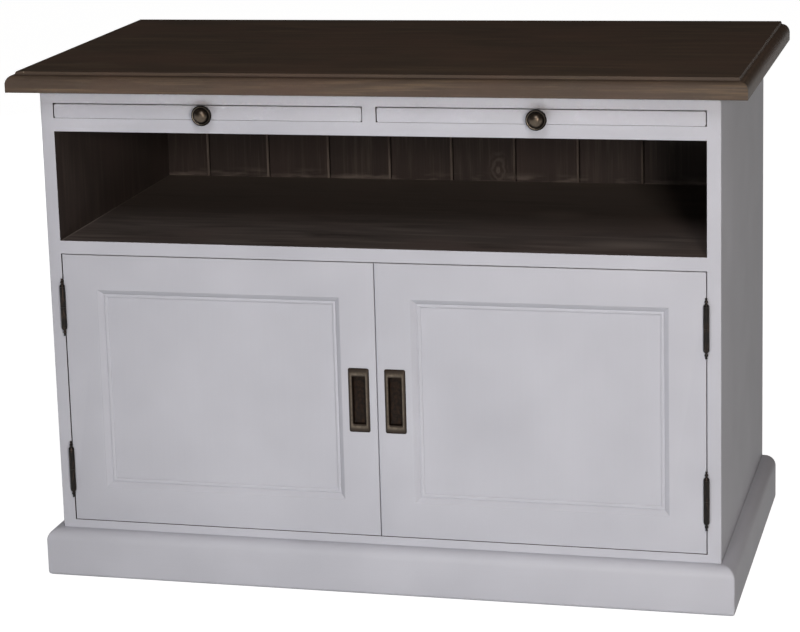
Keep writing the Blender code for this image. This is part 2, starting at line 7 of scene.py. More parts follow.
import bmesh
import bpy
from mathutils import Matrix, Vector


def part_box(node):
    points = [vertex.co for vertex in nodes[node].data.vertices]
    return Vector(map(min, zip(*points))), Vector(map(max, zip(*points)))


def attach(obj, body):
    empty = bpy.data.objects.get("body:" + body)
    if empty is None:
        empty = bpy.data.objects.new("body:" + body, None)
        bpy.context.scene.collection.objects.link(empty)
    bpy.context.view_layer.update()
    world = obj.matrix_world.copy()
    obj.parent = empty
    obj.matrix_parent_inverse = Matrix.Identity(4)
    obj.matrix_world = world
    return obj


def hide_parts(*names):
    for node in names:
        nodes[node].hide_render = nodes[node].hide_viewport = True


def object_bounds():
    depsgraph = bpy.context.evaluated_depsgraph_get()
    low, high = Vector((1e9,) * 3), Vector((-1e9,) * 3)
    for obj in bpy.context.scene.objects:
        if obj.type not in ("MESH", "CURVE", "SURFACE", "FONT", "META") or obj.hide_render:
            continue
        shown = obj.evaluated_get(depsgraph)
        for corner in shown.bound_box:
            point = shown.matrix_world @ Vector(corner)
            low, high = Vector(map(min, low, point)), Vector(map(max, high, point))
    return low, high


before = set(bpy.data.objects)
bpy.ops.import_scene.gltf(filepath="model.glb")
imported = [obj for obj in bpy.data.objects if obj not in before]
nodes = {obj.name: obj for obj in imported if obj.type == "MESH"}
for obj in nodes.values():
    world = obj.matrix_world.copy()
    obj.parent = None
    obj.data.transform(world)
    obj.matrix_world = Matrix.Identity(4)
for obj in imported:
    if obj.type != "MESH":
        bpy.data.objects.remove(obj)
cad_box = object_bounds()

MM = 0.001
SIDES = {"left": -1, "right": 1}
HINGE_LEVELS = ("upper", "lower")
TO_FRONT = (0.0, -1.0, 0.0)
TO_BACK = (0.0, 1.0, 0.0)

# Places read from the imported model
side_low, side_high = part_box("side_panel_right")
FRONT = side_low.y
BACK = side_high.y
INNER_HALF = side_low.x
OUTER_HALF = side_high.x
NICHE_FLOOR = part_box("niche_floor")[1].z

# The photograph's frame and camera
PICTURE = (800, 632)                 # pixels
LENS_AXIS = (310, 260)               # pixel that the lens points at: the photograph was cropped off centre
FOCAL_PIXELS = 2662.46
CAMERA_AT = (0.95964, -3.93808, 1.37317)
CAMERA_AZIMUTH = 15.9965             # degrees to the right of the front
CAMERA_ELEVATION = 12.7217
CAMERA_ROLL = -2.0227
SENSOR = 36.0                        # mm

# Light
BAND_MIDDLE = (0.0, FRONT, 755 * MM)                 # the painted band under the top
FLOOR_REACH = 60.0
FLOOR_MATT = "#a6a6a6"               # what the floor throws back at the cabinet
FLOOR_SHADED = "#808080"             # what shadows take away from the floor in view
FLOOR_GLOW = 0.98
ROOM_TINT = "#ffeee4"
ROOM_LIGHT = 0.047

# Top edge
TOP_EDGE_FLAT = 12.3 * MM
OVOLO_WIDTH = 12 * MM
OVOLO_HEIGHT = 13.5 * MM
STEP_WIDTH = 1.5 * MM
ARRIS = 0.8 * MM                     # rounding of a crisp wooden edge

# Plinth and side panels
PLINTH_ROUND = 17 * MM
PLINTH_EASE = 5 * MM
PLINTH_CORNER = 2.5 * MM
SIDE_EASE = 1.6 * MM                 # on the outer front edges of the side panels
REBATE_WIDTH = 10 * MM

# Doors
DOOR_EASE = 0.7 * MM
DOOR_FOOT = 0.6 * MM                 # of paint under the door, which narrows its lower gap
FRAME_ARRIS = 0.8 * MM               # rounding of the frame round its panel
MOULDING_BOW = 0.3 * MM              # of the sloping face, at its middle
MOULDING_SLOPE = (6.8 * MM, 6.2 * MM)                # width of the slope and depth at its foot
MOULDING_QUIRK = ((7.0, 6.6), (7.4, 6.6))            # inset and depth in mm
MOULDING_BEAD = ((7.9, 6.1), (8.6, 5.8), (9.5, 5.75), (10.5, 6.0), (11.6, 6.6), (12.5, 7.2))
MOULDING_WIDTH = 13 * MM
SLOPE_STEPS = 8
GROOVE_DEPTH = 9 * MM
LEAF_BED = 1.1 * MM                  # depth of the recess for a hinge leaf
FIT = 0.3 * MM

# Trays
TRAY_FRONT_DROP = 0.5 * MM           # thick paint that narrows the gap under a tray
TRAY_EASE = 0.5 * MM

# Pulls
PULL_SIDE_RIM = 6 * MM
PULL_END_RIM = 12.5 * MM
PULL_CORNER = 3.0 * MM
PULL_RECESS = 9 * MM
RECESS_CORNER = 1.5 * MM
PULL_CROWN = 0.27                    # share of the rim from the recess to its highest line
CROWN_ROUND = 0.07                   # share of the rim on each side of that line that is rounded
PULL_EDGE = 1.0 * MM                 # height of the rim's outer edge
PULL_BEVEL = 1.3 * MM                # fall from the crown to the recess
PULL_PATINA = (-0.7 * MM, -2.4 * MM)                 # places of the brown edge and the bright crown, along Y

# Knobs, in shares of their radius and length: middle and reach of each turned round, then the stem's outline
KNOB_DOME = ((0.0, 0.72), (0.69, 0.28))
KNOB_GROOVE = ((0.735, 0.70), (0.045, 0.03))
KNOB_BEAD = ((0.88, 0.645), (0.12, 0.095))
KNOB_STEM = ((0.72, 0.47), (0.54, 0.40), (0.43, 0.31), (0.40, 0.22), (0.45, 0.14), (0.57, 0.09),
             (0.60, 0.05), (0.60, 0.0), (0.0, 0.0))

# Fixings
LEAF_FACES = {"frame_leaf": 487.4 * MM, "door_leaf": 487.1 * MM}    # from the middle, doors closed
LEAF_SCREWS = ((-1, 9 * MM, 20.0), (0, 13 * MM, 75.0), (1, 9 * MM, 140.0))    # row, depth, slot's turn
SCREW_RADIUS = 2.4 * MM
SCREW_RISE = 0.1 * MM
SCREW_SLOT = 0.8 * MM
SCREW_SPACING = 21 * MM
STRIKE_SCREW_TURN = 30.0
NAIL_RADIUS = 2.0 * MM
NAIL_RISE = 0.4 * MM
NAIL_SEAM = 0.2 * MM
NAIL_TURN = 90.0
NAIL_REACH = 30 * MM                 # from the middle of a wide board
BACK_BOARDS = 10
HEAD_CROWN = 0.86                    # share of a head's width that is flat on top
HEAD_EDGE = 0.4                      # share of its rise that stands straight
POLE_HALF = (7.5 * MM, 1.0 * MM)
POLE_CORNER = 0.5 * MM
POLE_FROM_MIDDLE = 12 * MM
POLE_HEIGHTS = (0.3, 0.7)            # shares of the catch's height
POLE_PROUD = 0.1 * MM

WELD = 0.001 * MM                    # corners nearer than this are one


def linear(code):
    """A hex sRGB colour, such as "#8a7b60", as linear red, green, blue and alpha."""
    channels = [int(code[i:i + 2], 16) / 255 for i in (1, 3, 5)]
    return (*(c / 12.92 if c <= 0.04045 else ((c + 0.055) / 1.055) ** 2.4 for c in channels), 1.0)


def add(tree, kind, values=None, links=None, **settings):
    """Adds one shader node with its settings, fixed inputs and incoming links."""
    made = tree.nodes.new("ShaderNode" + kind)
    for name, value in settings.items():
        setattr(made, name, value)
    for socket, value in (values or {}).items():
        made.inputs[socket].default_value = value
    for socket, source in (links or {}).items():
        tree.links.new(source, made.inputs[socket])
    return made


def reckon(tree, operation, *terms, kind="Math"):
    """One step of arithmetic on fixed values and sockets; the kind VectorMath works on vectors."""
    linked = {i: term for i, term in enumerate(terms) if isinstance(term, bpy.types.NodeSocket)}
    fixed = {i: term for i, term in enumerate(terms) if i not in linked}
    made = add(tree, kind, fixed, linked, operation=operation)
    return made.outputs["Value" if operation in ("LENGTH", "DOT_PRODUCT") else 0]


def ramp(tree, value, start, end, low=0.0, high=1.0, **settings):
    """Goes from low to high while a value goes from start to end."""
    reach = {"From Min": start, "From Max": end, "To Min": low, "To Max": high}
    return add(tree, "MapRange", reach, {"Value": value}, **settings).outputs[0]


def noise(tree, place, size=1.0, detail=2.0, roughness=0.5, distortion=0.0):
    """Clouds of one size, in the units of the coordinates."""
    look = {"Scale": 1 / size, "Detail": detail, "Roughness": roughness, "Distortion": distortion}
    return add(tree, "TexNoise", look, {"Vector": place}).outputs["Fac"]


def blend(tree, share, under, over):
    """Mixes two colours, each a hex code or a socket, by a share."""
    colours = {6: under, 7: over}
    fixed = {i: linear(colour) for i, colour in colours.items() if isinstance(colour, str)}
    linked = {i: colour for i, colour in colours.items() if i not in fixed}
    return add(tree, "Mix", fixed, {0: share, **linked}, data_type="RGBA").outputs[2]


def bumps(tree, height, strength, depth):
    """Relief too fine for the mesh."""
    return add(tree, "Bump", {"Strength": strength, "Distance": depth}, {"Height": height}).outputs[0]


def split(tree, vector):
    """The X, Y and Z of a vector."""
    return add(tree, "SeparateXYZ", None, {0: vector}).outputs


def stretched(tree, place, along, run, line):
    """Coordinates for a pattern that is drawn out along one axis: run long and line wide, in metres."""
    scale = [1 / run if axis == along else 1 / line for axis in "XYZ"]
    return add(tree, "Mapping", {"Scale": scale}, {"Vector": place}).outputs["Vector"]


def spot(tree, place, middle, reach, strength):
    """A soft oval mask about a place, with its reach along each axis, and the distance from its middle."""
    moved = reckon(tree, "SUBTRACT", place, middle, kind="VectorMath")
    scaled = reckon(tree, "MULTIPLY", moved, [1 / r for r in reach], kind="VectorMath")
    far = reckon(tree, "LENGTH", scaled, kind="VectorMath")
    return ramp(tree, far, 1.0, 0.0, high=strength, interpolation_type="SMOOTHSTEP"), far


def new_material(name):
    """An empty material, its nodes, and the place of each point on a piece."""
    made = bpy.data.materials.new(name)
    made.use_nodes = True
    tree = made.node_tree
    tree.nodes.clear()
    return made, tree, add(tree, "TexCoord").outputs["Object"]


def surface(material, values, links):
    """Ends a material in one Principled shader."""
    shader = add(material.node_tree, "BsdfPrincipled", values, links)
    add(material.node_tree, "OutputMaterial", links={"Surface": shader.outputs["BSDF"]})
    return material


# Satin acrylic on wood, brushed on in two coats: an even, cool grey white with faint brush lines along
# each piece and a soft sheen. Real brush lines are 0.5 mm apart, too fine to show, so they are drawn wider.
PAINT_LIGHT = "#bdbfc6"
PAINT_DARK = "#b3b5bc"
BRUSH_LINE = 2.5 * MM
BRUSH_RUN = 120 * MM
BRUSH_SHARE = 0.12                   # of the unevenness, and the rest is clouds
PAINT_CLOUD = 160 * MM
PAINT_ROUGH = (0.48, 0.62)
PAINT_SHEEN = {"IOR": 1.5, "Specular IOR Level": 0.3}
PAINT_RELIEF = (0.12, 0.15 * MM)     # strength and depth
PAINT_ENDS = 0.35                    # how far a face must look towards the painted side to be painted


def paint_layer(tree, place, along):
    """Colour, roughness and height of the paint."""
    brush = noise(tree, stretched(tree, place, along, BRUSH_RUN, BRUSH_LINE), detail=3.0, roughness=0.6)
    cloud = noise(tree, place, PAINT_CLOUD)
    lines = reckon(tree, "MULTIPLY", brush, BRUSH_SHARE)
    uneven = reckon(tree, "MULTIPLY_ADD", cloud, 1 - BRUSH_SHARE, lines)
    colour = blend(tree, ramp(tree, uneven, 0.3, 0.7), PAINT_DARK, PAINT_LIGHT)
    return colour, ramp(tree, brush, 0.0, 1.0, *PAINT_ROUGH), brush


# Pine, stained dark walnut and waxed: brown growth rings and paler fibres drawn out along the board, redder
# and greyer patches where the stain took unevenly, and a low sheen that breaks up along the grain.
WARM_STAIN = {"dark": "#41362e", "middle": "#514539", "light": "#645443", "red": "#554338"}    # top
GREY_STAIN = {"dark": "#4b4541", "middle": "#5c5450", "light": "#6f6760", "red": "#5e524d"}    # shelves
DEEP_STAIN = {"dark": "#352e2b", "middle": "#423a37", "light": "#504842", "red": "#443936"}    # back
WALL_STAIN = {"dark": "#342d2a", "middle": "#413936", "light": "#504841", "red": "#433835"}    # inner sides
# pale worn stain that also paints light on the back boards and niche floor, and dark dirt that also paints
# shade on the back boards
STAIN_WORN_AND_LIT = "#8c827a"
STAIN_DIRT_AND_SHADE = "#2a2421"
RING_LINE = 55 * MM                  # width of a whole arch of rings across a board
RING_RUN = 620 * MM
RINGS = 7.0                          # rings in an arch
STREAK_LINE = 9 * MM
STREAK_RUN = 260 * MM
FIBRE_LINE = 2.4 * MM
FIBRE_RUN = 90 * MM
PATCH = 170 * MM
BOARD_SHIFT = (3.0, 5.0, 7.0)        # how far apart two boards' grain is taken from
RING_SHARE = 0.14                    # of the rings beside the streaks
COARSE_SHARE = 0.5                   # of rings and streaks in the tone
FIBRE_SHARE = 0.9                    # of fibres in the tone
REDNESS = 0.65                       # greatest share of the red
STAIN_ROUGH = (0.48, 0.66)
STAIN_SHEEN = {"IOR": 1.5, "Specular IOR Level": 0.2}
STAIN_RELIEF = (0.25, 0.25 * MM)     # strength and depth
EDGED_RELIEF = (0.15, 0.2 * MM)      # of boards that are both painted and stained


def stain_layer(tree, place, along, tones, marks=None):
    """Colour, roughness and height of the stained wood; marks makes the masks of its dirt and its wear,
    which on some boards also paint shade and light.
    """
    board = add(tree, "ObjectInfo").outputs["Random"]
    own = reckon(tree, "MULTIPLY", board, BOARD_SHIFT, kind="VectorMath")
    moved = reckon(tree, "ADD", place, own, kind="VectorMath")
    arch = noise(tree, stretched(tree, moved, along, RING_RUN, RING_LINE), detail=1.0, roughness=0.4)
    ring = reckon(tree, "SINE", reckon(tree, "MULTIPLY", arch, 2 * math.pi * RINGS))
    streak = noise(tree, stretched(tree, moved, along, STREAK_RUN, STREAK_LINE), detail=4.0, roughness=0.6)
    fibre = noise(tree, stretched(tree, moved, along, FIBRE_RUN, FIBRE_LINE), detail=3.0, roughness=0.65)
    ringed = reckon(tree, "MULTIPLY_ADD", ring, RING_SHARE, streak)
    fine = reckon(tree, "MULTIPLY", fibre, FIBRE_SHARE)
    tone = reckon(tree, "MULTIPLY_ADD", ringed, COARSE_SHARE, fine)
    depth = ramp(tree, tone, 0.4, 1.0)
    colour = blend(tree, depth, tones["dark"], tones["middle"])
    colour = blend(tree, ramp(tree, depth, 0.55, 1.0), colour, tones["light"])
    redness = ramp(tree, noise(tree, moved, PATCH), 0.42, 0.68, high=REDNESS)
    colour = blend(tree, redness, colour, tones["red"])
    if marks:
        # on the back boards the dirt mask also paints shade, and on the back boards and the niche floor the
        # wear mask also paints light
        dirt, wear = marks(tree, place)
        colour = blend(tree, wear, blend(tree, dirt, colour, STAIN_DIRT_AND_SHADE), STAIN_WORN_AND_LIT)
    return colour, ramp(tree, fibre, 0.0, 1.0, *STAIN_ROUGH), tone


def satin_paint(along):
    """Paint all over a piece whose length lies along one axis."""
    made, tree, place = new_material(f"satin_paint_along_{along.lower()}")
    colour, rough, height = paint_layer(tree, place, along)
    normal = bumps(tree, height, *PAINT_RELIEF)
    return surface(made, PAINT_SHEEN, {"Base Color": colour, "Roughness": rough, "Normal": normal})


def stained_pine(name, along, tones, marks=None):
    """Stain all over a piece."""
    made, tree, place = new_material(name)
    colour, rough, height = stain_layer(tree, place, along, tones, marks)
    normal = bumps(tree, height, *STAIN_RELIEF)
    return surface(made, STAIN_SHEEN, {"Base Color": colour, "Roughness": rough, "Normal": normal})


def painted_and_stained(name, along, painted_side, tones, marks=None):
    """Stained wood with paint only on the faces that look towards painted_side."""
    made, tree, place = new_material(name)
    looks = add(tree, "TexCoord").outputs["Normal"]
    towards = reckon(tree, "DOT_PRODUCT", looks, painted_side, kind="VectorMath")
    mask = reckon(tree, "GREATER_THAN", towards, PAINT_ENDS)
    paint = paint_layer(tree, place, along)
    stain = stain_layer(tree, place, along, tones, marks)
    colour = blend(tree, mask, stain[0], paint[0])
    rough = add(tree, "Mix", None, {0: mask, 2: stain[1], 3: paint[1]}).outputs[0]
    height = add(tree, "Mix", None, {0: mask, 2: stain[2], 3: paint[2]}).outputs[0]
    normal = bumps(tree, height, *EDGED_RELIEF)
    return surface(made, PAINT_SHEEN, {"Base Color": colour, "Roughness": rough, "Normal": normal})


# Marks of use on the stain, some of which also paint light or shade, each with the run and line of its
# pattern or its distances in millimetres
JOINT_DIRT_AND_SHADE = 0.9                     # share of dirt and painted shade on the back boards' joint chamfers that face left, away from the key lamp
ARRIS_RUB_AND_HIGHLIGHT = 0.62                     # share of pale stain on the back boards' arrises that face right, towards the key lamp: rubbed wear and painted highlight
ARRIS_BREAKS = (70 * MM, 30 * MM)
# paler broken streaks on the back boards, in a band just above the niche floor
LOW_PALE_STREAKS = (60 * MM, 9 * MM)
LOW_PALE_AT = (0.0, 266 * MM, NICHE_FLOOR)
LOW_PALE_REACH = (9000 * MM, 8 * MM, 18 * MM)
LOW_PALE_SHARE = 0.7
KNOT_AT = (81 * MM, 266 * MM, 545 * MM)
KNOT_REACH = (22 * MM, 200 * MM, 44 * MM)
KNOT_RINGS = 3.0
KNOT_RUB = 0.3
KNOT_WANDER = 18 * MM
KNOT_BEND = 0.7                      # share of the knot's reach by which its rings wander
EDGE_RUB = 0.02                      # share of the stain gone from the moulded edge of the top
TOP_DIRT = (160 * MM, 40 * MM)
TOP_DIRT_SHARE = 0.2
FLOOR_STREAKS = (190 * MM, 22 * MM)
STREAKS_RUB = 0.6
FLOOR_SMEARS = (170 * MM, 30 * MM)
SMEARS_DIRT = 0.55
RUBBED_FRONT = (190 * MM, 20 * MM)   # behind the front edge, where the rubbing begins and where it is full
FRONT_RUB = 0.8
BACK_DUST_AND_LIGHT_REACH = (120 * MM, 520 * MM)    # behind the front edge, where the pale dust and painted light begin and where they are full
BACK_DUST_AND_LIGHT = 0.5
PALE_END = (4 * MM, 1.5 * MM)        # from the left end, where the pale line begins and where it is full
PALE_SHARE = 0.6
# worn patches on the niche floor, which also paint in the bright reflection beside the key lamp's shadow
WORN_AND_LIT_PLACES = (((228 * MM, 14 * MM, 528 * MM), (95 * MM, 80 * MM, 200 * MM), 0.45),
               ((367 * MM, -188 * MM, 528 * MM), (110 * MM, 45 * MM, 200 * MM), 0.5))


def back_board_marks(tree, place):
    """Dirt and painted shade on joint chamfers facing left, wear and painted highlight on those facing
    right, a knot, and pale streaks low down.
    """
    looks = split(tree, add(tree, "TexCoord").outputs["Normal"])
    # painted shade, with dirt: chamfers that face left, away from the key lamp, are darkened
    joint = ramp(tree, looks["X"], -0.3, -0.6, high=JOINT_DIRT_AND_SHADE)
    # painted highlight, with rubbed wear: chamfers that face right, towards the key lamp, are paled
    chamfer = ramp(tree, looks["X"], 0.3, 0.6, high=ARRIS_RUB_AND_HIGHLIGHT)
    broken = noise(tree, stretched(tree, place, "Z", *ARRIS_BREAKS), detail=3.0)
    arris = reckon(tree, "MULTIPLY", chamfer, ramp(tree, broken, 0.3, 0.6, low=0.25))
    # paler broken streaks in a band just above the niche floor
    near, _ = spot(tree, place, LOW_PALE_AT, LOW_PALE_REACH, 1.0)
    rub = noise(tree, stretched(tree, place, "X", *LOW_PALE_STREAKS), detail=3.0)
    low_pale = reckon(tree, "MULTIPLY", near, ramp(tree, rub, 0.45, 0.75, high=LOW_PALE_SHARE))
    knot, far = spot(tree, place, KNOT_AT, KNOT_REACH, KNOT_RUB)
    bent = reckon(tree, "MULTIPLY_ADD", noise(tree, place, KNOT_WANDER), KNOT_BEND, far)
    ring = reckon(tree, "SINE", reckon(tree, "MULTIPLY", bent, 2 * math.pi * KNOT_RINGS))
    rings = reckon(tree, "MULTIPLY", knot, ramp(tree, ring, -0.6, 1.0))
    return joint, reckon(tree, "MAXIMUM", reckon(tree, "MAXIMUM", arris, low_pale), rings)


def top_marks(tree, place):
    """Faint dirt along the top, and its moulded edge rubbed a little paler than its face."""
    looks = split(tree, add(tree, "TexCoord").outputs["Normal"])
    edge = ramp(tree, looks["Z"], 0.9, 0.4, high=EDGE_RUB)
    broken = noise(tree, stretched(tree, place, "X", *TOP_DIRT), detail=3.0)
    return ramp(tree, broken, 0.62, 0.8, high=TOP_DIRT_SHARE), edge


def niche_floor_marks(tree, place):
    """Dark and rubbed streaks on the niche floor, worn patches with a painted reflection, dust and painted
    light at the back, and a pale left end.
    """
    parts = split(tree, place)
    near = ramp(tree, parts["Y"], *(FRONT + behind for behind in RUBBED_FRONT), high=FRONT_RUB)
    rub = noise(tree, stretched(tree, place, "X", *FLOOR_STREAKS), detail=4.0)
    worn_and_lit = reckon(tree, "MULTIPLY", near, ramp(tree, rub, 0.5, 0.78, high=STREAKS_RUB))
    # painted reflection, with wear: pale patches beside the key lamp's shadow
    for middle, reach, strength in WORN_AND_LIT_PLACES:
        worn_and_lit = reckon(tree, "MAXIMUM", worn_and_lit, spot(tree, place, middle, reach, strength)[0])
    # painted light, with dust: the niche floor grows paler towards the back, which lies in shade
    dust_and_light = ramp(tree, parts["Y"], *(FRONT + behind for behind in BACK_DUST_AND_LIGHT_REACH), high=BACK_DUST_AND_LIGHT)
    worn_and_lit = reckon(tree, "MAXIMUM", worn_and_lit, dust_and_light)
    left_end = ramp(tree, parts["X"], *(inside - INNER_HALF for inside in PALE_END), high=PALE_SHARE)
    smear = noise(tree, stretched(tree, place, "X", *FLOOR_SMEARS), detail=3.0, distortion=0.6)
    return ramp(tree, smear, 0.54, 0.72, high=SMEARS_DIRT), reckon(tree, "MAXIMUM", worn_and_lit, left_end)


# Cast brass with a brown patina: nearly black and mottled in the recess, brown towards the paint, and rubbed
# to a dull grey gold along the crown of the rim, which shines.
BRASS_TARNISH = "#150f0b"
BRASS_BROWN = "#2c1f15"
BRASS_DULL = "#443d36"
BRASS_RUBBED = "#7a7063"
CASTING = 5 * MM                     # size of the mottling
CASTING_RELIEF = (0.3, 0.15 * MM)    # strength and depth
CROWN_LINE = (0.1 * MM, -0.5 * MM)   # from the crown, where the rubbing begins and where it is full
BRASS_METAL = (0.15, 0.75)           # in the hollow and on the crown
BRASS_ROUGH = (0.55, 0.34)


def aged_brass(edge, crown):
    """Patina of the pulls, which clears from the outer edge of the rim to its crown."""
    made, tree, place = new_material("aged_cast_brass")
    out = split(tree, place)["Y"]
    mottle = noise(tree, place, CASTING, detail=4.0, roughness=0.6)
    hollow = blend(tree, ramp(tree, mottle, 0.4, 0.7), BRASS_TARNISH, BRASS_BROWN)
    height = ramp(tree, out, edge, crown)
    rim = blend(tree, height, hollow, BRASS_DULL)
    line = ramp(tree, out, *(crown + step for step in CROWN_LINE))
    rubbed = reckon(tree, "MULTIPLY", line, ramp(tree, mottle, 0.3, 0.7, 0.15, 0.8))
    return surface(made, {"Specular IOR Level": 0.15},
                   {"Base Color": blend(tree, rubbed, rim, BRASS_RUBBED),
                    "Metallic": ramp(tree, height, 0.0, 1.0, *BRASS_METAL),
                    "Roughness": ramp(tree, height, 0.0, 1.0, *BRASS_ROUGH),
                    "Normal": bumps(tree, mottle, *CASTING_RELIEF)})


# Turned brass, blackened: an olive grey dome where hands have rubbed it, which mirrors the lamps, inside a
# bright turned ring, with black left in the groove, round the rim and on the stem.
BRASS_BLACK = "#1d1a18"
BRASS_DOME = "#584f45"
BRASS_RING = "#8a8174"
TURNING = 6 * MM                     # size of the rubbed patches
DOME_CLEARS = (0.74, 0.84)           # shares of the length between which the black gives way
RING_STARTS = (0.75, 0.78)           # shares of the radius between which the bright ring starts
RING_ENDS = (0.87, 0.84)             # and ends
RING_BACK = 0.68                     # share of the length behind which no ring is rubbed
KNOB_ROUGH = (0.3, 0.38)


def blackened_brass(radius, length):
    """Blackened brass of a knob of one radius and length, turned about its own +Z."""
    made, tree, place = new_material("blackened_turned_brass")
    wear = noise(tree, place, TURNING, detail=3.0, roughness=0.6)
    up = split(tree, place)["Z"]
    across = reckon(tree, "MULTIPLY", place, (1.0, 1.0, 0.0), kind="VectorMath")
    out = reckon(tree, "LENGTH", across, kind="VectorMath")
    dome = ramp(tree, up, *(share * length for share in DOME_CLEARS))
    inner = ramp(tree, out, *(share * radius for share in RING_STARTS))
    outer = ramp(tree, out, *(share * radius for share in RING_ENDS))
    front = reckon(tree, "GREATER_THAN", up, RING_BACK * length)
    ring = reckon(tree, "MULTIPLY", reckon(tree, "MULTIPLY", inner, outer), front)
    rubbed = reckon(tree, "MULTIPLY", dome, ramp(tree, wear, 0.25, 0.55, low=0.55))
    colour = blend(tree, ring, blend(tree, rubbed, BRASS_BLACK, BRASS_DOME), BRASS_RING)
    return surface(made, {"Metallic": 0.95},
                   {"Base Color": colour, "Roughness": ramp(tree, wear, 0.0, 1.0, *KNOB_ROUGH)})


# Bronze-plated steel: nearly black, with warm brown where the plating has rubbed through along the barrel.
BRONZE_BLACK = "#211f1e"
BRONZE_WARM = "#4c3d33"
BRONZE_RUN = 14 * MM
BRONZE_LINE = 2.8 * MM
BRONZE_ROUGH = (0.34, 0.26)          # plated and rubbed


def bronzed_steel():
    made, tree, place = new_material("bronzed_steel")
    rub = noise(tree, stretched(tree, place, "Z", BRONZE_RUN, BRONZE_LINE), detail=4.0, roughness=0.6)
    bare = ramp(tree, rub, 0.5, 0.75, high=0.8)
    return surface(made, {"Metallic": 0.85},
                   {"Base Color": blend(tree, bare, BRONZE_BLACK, BRONZE_WARM),
                    "Roughness": ramp(tree, bare, 0.0, 1.0, *BRONZE_ROUGH)})


# Zinc-plated steel: cool grey, with the fine spangle of the plating.
ZINC_DARK = "#8b8d90"
ZINC_LIGHT = "#b4b6b8"
ZINC_GRAIN = 1.5 * MM
ZINC_ROUGH = (0.28, 0.42)


def zinc_plate():
    made, tree, place = new_material("zinc_plated_steel")
    spangle = add(tree, "TexVoronoi", {"Scale": 1 / ZINC_GRAIN}, {"Vector": place})
    shade = split(tree, spangle.outputs["Color"])
    return surface(made, {"Metallic": 1.0},
                   {"Base Color": blend(tree, shade[0], ZINC_DARK, ZINC_LIGHT),
                    "Roughness": ramp(tree, shade[1], 0.0, 1.0, *ZINC_ROUGH)})


# Moulded black plastic: an even spark-eroded texture, 0.4 mm across, drawn at 0.8 mm to show.
CASE_BLACK = "#1d1c1b"
CASE_GREY = "#2b2a29"
CASE_TEXTURE = 0.8 * MM
CASE_RELIEF = (0.3, 0.1 * MM)        # strength and depth


def catch_plastic():
    made, tree, place = new_material("moulded_black_plastic")
    grit = noise(tree, place, CASE_TEXTURE)
    return surface(made, {"Roughness": 0.55, "IOR": 1.46},
                   {"Base Color": blend(tree, grit, CASE_BLACK, CASE_GREY),
                    "Normal": bumps(tree, grit, *CASE_RELIEF)})


def point(axis, u, v, w):
    """A place from two flat coordinates and the distance along an axis."""
    return Vector({"X": (w, u, v), "Y": (u, w, v), "Z": (u, v, w)}[axis])


def arc(middle, radii, start, end, steps):
    """Points of an elliptic arc, between two angles in degrees."""
    turns = [math.radians(start + (end - start) * i / steps) for i in range(steps + 1)]
    return [(middle[0] + radii[0] * math.cos(t), middle[1] + radii[1] * math.sin(t)) for t in turns]


def rectangle(low, high, grow=0.0):
    """Corners of a flat rectangle, grown outwards on every side."""
    (u0, v0), (u1, v1) = low, high
    return [(u0 - grow, v0 - grow), (u1 + grow, v0 - grow), (u1 + grow, v1 + grow), (u0 - grow, v1 + grow)]


def rounded(half_u, half_v, radius, steps=5):
    """Outline of a rectangle with round corners, about the origin."""
    radius = min(radius, half_u, half_v)
    points = []
    for turn, (u, v) in enumerate(((1, 1), (-1, 1), (-1, -1), (1, -1))):
        middle = (u * (half_u - radius), v * (half_v - radius))
        points += arc(middle, (radius, radius), 90.0 * turn, 90.0 * turn + 90.0, steps)
    return points


def skin(rows, ring=False):
    """A skin over rows of points, capped at both ends or closed into a ring, and the rows of its corners."""
    shape = bmesh.new()
    loops = [[shape.verts.new(place) for place in row] for row in rows]
    followers = loops[1:] + loops[:1] if ring else loops[1:]
    for one, other in zip(loops, followers):
        for i in range(len(one)):
            shape.faces.new((one[i - 1], one[i], other[i], other[i - 1]))
    if not ring:
        shape.faces.new(loops[0])
        shape.faces.new(loops[-1])
    bmesh.ops.recalc_face_normals(shape, faces=shape.faces)
    return shape, loops


def loft(axis, sections, ring=False):
    """A skin over flat outlines of equal count, each (points, w)."""
    return skin([[point(axis, u, v, w) for u, v in points] for points, w in sections], ring)[0]


def lathe(outline, steps):
    """A turned shape about +Z, from points (radius, height)."""
    shape = bmesh.new()
    verts = [shape.verts.new((r, 0.0, z)) for r, z in outline]
    edges = [shape.edges.new(pair) for pair in zip(verts, verts[1:])]
    bmesh.ops.spin(shape, geom=verts + edges, cent=(0.0, 0.0, 0.0), axis=(0.0, 0.0, 1.0),
                   angle=2 * math.pi, steps=steps, use_merge=True)
    bmesh.ops.remove_doubles(shape, verts=shape.verts, dist=WELD)
    bmesh.ops.recalc_face_normals(shape, faces=shape.faces)
    return shape


def block(one, other):
    """A box between two opposite corners."""
    low, high = zip(*(sorted(ends) for ends in zip(one, other)))
    outline = rectangle(low[:2], high[:2])
    return loft("Z", [(outline, low[2]), (outline, high[2])])


def of_node(name):
    """The solid of a CAD node, with its corners joined."""
    shape = bmesh.new()
    shape.from_mesh(nodes[name].data)
    bmesh.ops.remove_doubles(shape, verts=shape.verts, dist=WELD)
    return shape


def whole_faces(shape):
    """Joins the triangles of each flat face."""
    bmesh.ops.dissolve_limit(shape, angle_limit=math.radians(0.5), verts=shape.verts, edges=shape.edges)
    return shape


def round_edges(shape, edges, width, segments):
    bmesh.ops.bevel(shape, geom=edges, offset=width, segments=segments, profile=0.5, affect="EDGES",
                    clamp_overlap=True)


def join(whole, part, place=None):
    """Adds one shape to another, moved to a place."""
    mesh = bpy.data.meshes.new("part")
    part.to_mesh(mesh)
    part.free()
    mesh.transform(place or Matrix())
    whole.from_mesh(mesh)
    bpy.data.meshes.remove(mesh)


